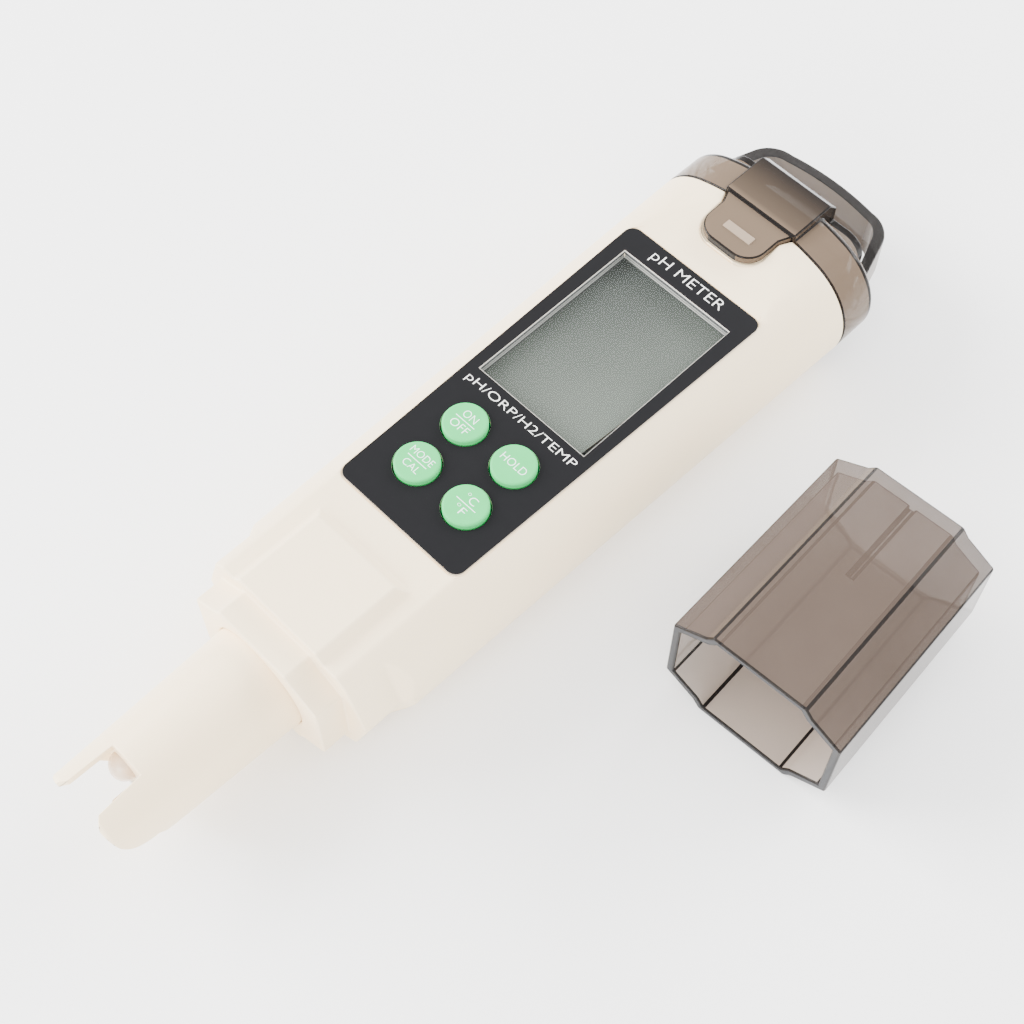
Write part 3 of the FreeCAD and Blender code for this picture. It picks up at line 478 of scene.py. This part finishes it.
# %% Probe tube
bm = merged_copy("probe_tube")
round_edges(bm, hard_edges(bm), 0.22 * MM)
tube = placed(bm, "probe_sleeve", [probe_cream], "meter")
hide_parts("probe_tube")
smooth_finish(tube)
print("probe tube", len(tube.data.polygons), "faces")

# %% [markdown]
# ## Smoky caps
# The walls of a tinted cap are pale where light crosses one thickness of them.  They are almost black
# along the corners, where the eye looks down the length of the wall.  Dark lines could be laid on as
# separate strips, but they would float.  Here the rounded corner faces themselves get the denser
# finish, and the cut rim at the mouth a cooler grey, a painted reflection of the pale room that it
# mirrors.  The inner faces get a paler finish, which is painted light for the light that the walls
# let into the cap.

# %% Helpers for the caps
WALL, CORNER, RIM, INSIDE = range(4)
RIM_DEPTH = 0.3 * MM
CAP_HARD_ANGLE = 24
CAP_SHADE_ANGLE = 50


def mark_rim(bm, mouth):
    """Mark the faces at the very end that look out of the mouth, a direction."""
    end = max(v.co.dot(mouth) for v in bm.verts)
    for face in bm.faces:
        if face.normal.dot(mouth) > 0.97 and face.calc_center_median().dot(mouth) > end - RIM_DEPTH:
            face.material_index = RIM


def mark_inside(bm, node, mouth):
    """Mark the walls that look inwards, and the inner face of the closed end."""
    low, high = (Vector(corner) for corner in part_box(node))
    middle = (low + high) / 2
    for face in bm.faces:
        out = face.calc_center_median() - middle
        out -= mouth * out.dot(mouth)
        inwards = face.normal.dot(out) < 0 or face.normal.dot(mouth) > 0.9
        if face.material_index == WALL and inwards:
            face.material_index = INSIDE


def round_corners(bm, width):
    for face in round_edges(bm, hard_edges(bm, CAP_HARD_ANGLE), width, 2):
        face.material_index = CORNER


def smoky_piece(bm, name, node, wall, body):
    made = placed(bm, name, [wall, smoke_corner, smoke_rim_painted_reflection, smoke_inside_painted_light], body)
    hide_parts(node)
    smooth_finish(made, CAP_SHADE_ANGLE)
    print(name, len(made.data.polygons), "faces")


print("faces within", RIM_DEPTH / MM, "mm of the mouth's end count as the rim")

# %% Probe cap
PROBE_CAP_MOUTH = Vector((0.062791, -0.998027, 0.0))
bm = merged_copy("probe_cap")
mark_rim(bm, PROBE_CAP_MOUTH)
mark_inside(bm, "probe_cap", PROBE_CAP_MOUTH)
round_corners(bm, 0.36 * MM)
smoky_piece(bm, "probe_cover_shell", "probe_cap", smoke, "probe_cover")

# %% [markdown]
# ## Battery cap
# The housing fills this cap, so its inner faces keep the finish of its walls.  Its thick places are
# the end of the skirt, the end of the platform and the flat sides of the strap loop.  They could be
# painted by place in the shader, but their edges are crisp.  So the mesh is cut across where each one
# starts, and the faces of that stretch get the corner finish.

# %% Battery cap
SKIRT_STRIP = (64.3 * MM, 66.2 * MM)
PLATFORM_STRIP = (67.9 * MM, 69.6 * MM)
LATCH_HALF_WIDTH = 8.3 * MM


def dense_strip(bm, start, stop, past):
    """The corner finish on faces from start to stop along Y that are over past from the middle."""
    bmesh.ops.bisect_plane(bm, geom=bm.verts[:] + bm.edges[:] + bm.faces[:], dist=1e-7,
                           plane_co=(0, start, 0), plane_no=(0, 1, 0))
    for face in bm.faces:
        centre = face.calc_center_median()
        if start < centre.y < stop and abs(face.normal.y) < 0.6 and abs(centre.x) > past:
            face.material_index = CORNER


bm = merged_copy("battery_cap")
mark_rim(bm, Vector((0, -1, 0)))
round_corners(bm, 0.28 * MM)
dense_strip(bm, *SKIRT_STRIP, LATCH_HALF_WIDTH)
dense_strip(bm, *PLATFORM_STRIP, -1)
for face in bm.faces:
    if abs(face.normal.z) > 0.8 and face.calc_center_median().y > PLATFORM_STRIP[1]:
        face.material_index = CORNER
smoky_piece(bm, "battery_cover_shell", "battery_cap", smoke_battery, "cap")

# %% [markdown]
# ## Front film
# The film is a thin clear sheet printed black on its back.  Its face reads as a deep satin black, and
# its cut edge stays pale, which draws a fine light line around the film where that edge faces the eye.
# A pale outline could be printed on the face, but a second finish on the real edge shows from the
# right sides only.

# %% Front film
FILM_EASE = 0.06 * MM
bm = merged_copy("front_film")
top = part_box("front_film")[1][2]
upper = [e for e in hard_edges(bm) if min(v.co.z for v in e.verts) > top - 0.02 * MM]
round_edges(bm, upper, FILM_EASE, 2)
for face in bm.faces:
    face.material_index = 0 if face.normal.z > 0.5 else 1
film_sheet = placed(bm, "film_sheet", [film, film_edge], "meter")
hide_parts("front_film")
smooth_finish(film_sheet)
print("film top at", round(top / MM, 3), "mm")

# %% [markdown]
# ## Window well
# Behind the clear pane the walls of the window show as thin bands: the film's cut edge, the pane's
# dark printed skirt and the pale carrier of the display.  Each band could be a piece of its own, but
# they would be a few tenths of a millimetre high.  One ring of wall, with bands read from its height,
# gives all three.

# %% Window well
WELL_OUT = 0.05 * MM      # ring past the pane
WELL_RING = 0.04 * MM     # thickness of the ring
WELL_DROP = 0.01 * MM     # ring under the film's face
WELL_FOOT = 0.03 * MM     # ring over the display glass
low, high = (Vector(corner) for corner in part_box("display_window"))
glass_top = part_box("lcd_glass")[1][2]
centre = (low + high) / 2
bm = bmesh.new()
bmesh.ops.create_grid(bm, x_segments=1, y_segments=1, size=0.5)
bmesh.ops.scale(bm, vec=(high.x - low.x + 2 * WELL_OUT, high.y - low.y + 2 * WELL_OUT, 1),
                verts=bm.verts)
bmesh.ops.translate(bm, vec=(centre.x, centre.y, top - WELL_DROP), verts=bm.verts)
middle = bm.faces[:]
bmesh.ops.inset_individual(bm, faces=middle, thickness=WELL_RING)
bmesh.ops.delete(bm, geom=middle, context="FACES")


def pulled(bm, height):
    """Extrude every face of a flat sheet, move the new end along Z and face all sides outwards."""
    end = bmesh.ops.extrude_face_region(bm, geom=bm.faces[:])
    bmesh.ops.translate(bm, vec=(0, 0, height),
                        verts=[v for v in end["geom"] if isinstance(v, bmesh.types.BMVert)])
    bmesh.ops.recalc_face_normals(bm, faces=bm.faces)


pulled(bm, glass_top - top + WELL_FOOT)
well = placed(bm, "window_well", [well_finish], "meter")
print("well of", len(well.data.polygons), "faces, z", round(glass_top / MM, 2), "to",
      round(top / MM, 2), "mm")

# %% [markdown]
# ## Catch on the cap's tongue
# A small raised bar on the tongue gives a thumb something to push against.  It could be a bump in the
# material, but a bump has no side that catches the light from below, so it is a small rounded block.

# %% Tongue catch
CATCH_SIZE = (6.3 * MM, 1.8 * MM, 0.5 * MM)
CATCH_PLACE = (0.3 * MM, 51.3 * MM, 28.45 * MM)
bm = bmesh.new()
bmesh.ops.create_cube(bm, size=1)
bmesh.ops.scale(bm, vec=CATCH_SIZE, verts=bm.verts)
bmesh.ops.translate(bm, vec=CATCH_PLACE, verts=bm.verts)
bmesh.ops.bevel(bm, geom=bm.edges[:], offset=0.12 * MM, offset_type="OFFSET", affect="EDGES",
                segments=2, profile=0.5, material=-1)
catch = placed(bm, "tongue_catch", [smoke_catch], "cap")
smooth_finish(catch)
print("catch of", len(catch.data.polygons), "faces on the tongue")

# %% [markdown]
# ## Printed labels
# The lettering is white ink, a few hundredths of a millimetre thick.  It could be drawn in the film's
# material, but crisp letters there need a texture.  Text is made with a font curve, turned into a
# mesh, and only then moved to its place, so that the finished object sits at the origin.

# %% Printing helpers
INK = 0.02 * MM
CAPITAL_SHARE = 0.72     # height of a capital in a font of size 1
INK_THINNING = 0.02      # strokes are drawn in by this share of the height


def printed(name, words, centre, height, length, z, body, ink_used):
    """Words centred on (x, y), with capitals of one height and one whole length, at height z."""
    curve = bpy.data.curves.new(name, "FONT")
    curve.body = words
    curve.align_x, curve.align_y = "CENTER", "CENTER"
    curve.size = height / CAPITAL_SHARE
    curve.resolution_u = 6
    curve.extrude = INK / 2
    curve.offset = -INK_THINNING * height
    maker = linked(name + ".maker", curve)
    bpy.context.view_layer.update()
    mesh = bpy.data.meshes.new_from_object(maker)
    bpy.data.objects.remove(maker)
    bpy.data.curves.remove(curve)
    mesh.name = name
    xs = [v.co.x for v in mesh.vertices]
    ys = [v.co.y for v in mesh.vertices]
    middle = Vector(((max(xs) + min(xs)) / 2, (max(ys) + min(ys)) / 2, 0))
    stretch = length / (max(xs) - min(xs))
    mesh.transform(Matrix.Translation((*centre, z + INK / 2))
                   @ Matrix.Diagonal((stretch, 1, 1, 1)) @ Matrix.Translation(-middle))
    mesh.materials.clear()
    mesh.materials.append(ink_used)
    piece = linked(name, mesh)
    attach(piece, body)


def rule(name, centre, length, thick, z, body, ink_used):
    """A printed line along X."""
    bm = bmesh.new()
    bmesh.ops.create_grid(bm, x_segments=1, y_segments=1, size=0.5)
    bmesh.ops.scale(bm, vec=(length, thick, 1), verts=bm.verts)
    pulled(bm, INK)
    bmesh.ops.translate(bm, vec=(*centre, z), verts=bm.verts)
    placed(bm, name, [ink_used], body)


print("ink", INK / MM, "mm thick")

# %% Labels on the film
printed("label_title", "pH METER", (0.0, 38.25 * MM), 2.3 * MM, 16.6 * MM, top, "meter", ink)
printed("label_ranges", "pH/ORP/H2/TEMP", (0.0, -3.3 * MM), 1.75 * MM, 25.6 * MM, top, "meter", ink)
print("film labels printed")

# %% [markdown]
# ## Labels on the keys
# Each key has one or two short words, with a thin line between two.  The words could all be one piece,
# but every key is pressed by itself, so each label rides on its own key's body and moves with it.

# %% Labels on the keys
LINE_PITCH = 2.6 * MM
RULE_LENGTH = 4.4 * MM
RULE_THICK = 0.13 * MM
KEY_WORDS = {
    "key_power": ("power_key", 1.6, (("ON", 2.9), ("OFF", 3.9))),
    "key_hold": ("hold_key", 1.6, (("HOLD", 5.4),)),
    "key_mode": ("mode_key", 1.45, (("MODE", 5.0), ("CAL", 3.5))),
    "key_units": ("units_key", 1.6, (("°C", 2.4), ("°F", 2.2))),
}
for node, (body, height, words) in KEY_WORDS.items():
    (x0, y0, _), (x1, y1, key_top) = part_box(node)
    x, y = (x0 + x1) / 2, (y0 + y1) / 2
    for line, (word, length) in enumerate(words):
        shift = (0.5 - line) * LINE_PITCH * (len(words) - 1)
        printed(f"{node}_label_{line}", word, (x, y + shift), height * MM, length * MM, key_top,
                body, key_ink)
    if len(words) > 1:
        rule(node + "_label_rule", (x, y), RULE_LENGTH, RULE_THICK, key_top, body, key_ink)
print(len(KEY_WORDS), "keys labelled")

# %% [markdown]
# ## Floor and light
# A white floor and a white room light the meter from all sides, as on a product table.  The room's
# light alone would leave the pale housing flat, and a small lamp would throw a hard shadow.  One broad
# light from the upper left gives the far sides a soft shade, and two weaker ones keep it pale.

# %% Floor
FLOOR_HALF = 1.5
bm = bmesh.new()
bmesh.ops.create_grid(bm, x_segments=1, y_segments=1, size=FLOOR_HALF)
floor_mesh = bpy.data.meshes.new("floor")
bm.to_mesh(floor_mesh)
bm.free()
floor_mesh.materials.append(Graph("pale_floor").finish(
    Base_Color=rgb(250, 250, 250), Roughness=0.9, Specular_IOR_Level=0.0))
linked("floor", floor_mesh)
print("floor", 2 * FLOOR_HALF, "m across")


# %% Lights
def area_light(name, place, size, power):
    """A broad light at a place, turned towards the camera's aim point."""
    data = bpy.data.lights.new(name, "AREA")
    data.shape = "RECTANGLE"
    data.size, data.size_y = size
    data.energy = power
    made = linked(name, data)
    made.location = place
    made.rotation_euler = (AIM - Vector(place)).to_track_quat("-Z", "Y").to_euler()


area_light("left_window", (-0.75, -0.42, 0.5), (0.7, 0.6), 30.0)
area_light("low_fill", (0.2, -0.75, 0.35), (0.5, 0.4), 8.0)
area_light("far_strip", (0.15, 0.75, 0.35), (0.8, 0.3), 14.0)
world = bpy.data.worlds.new("studio")
bpy.context.scene.world = world
world.use_nodes = True
room = world.node_tree.nodes["Background"]
room.inputs["Color"].default_value = (1, 1, 1, 1)
room.inputs["Strength"].default_value = 2.4
print("lights ready")
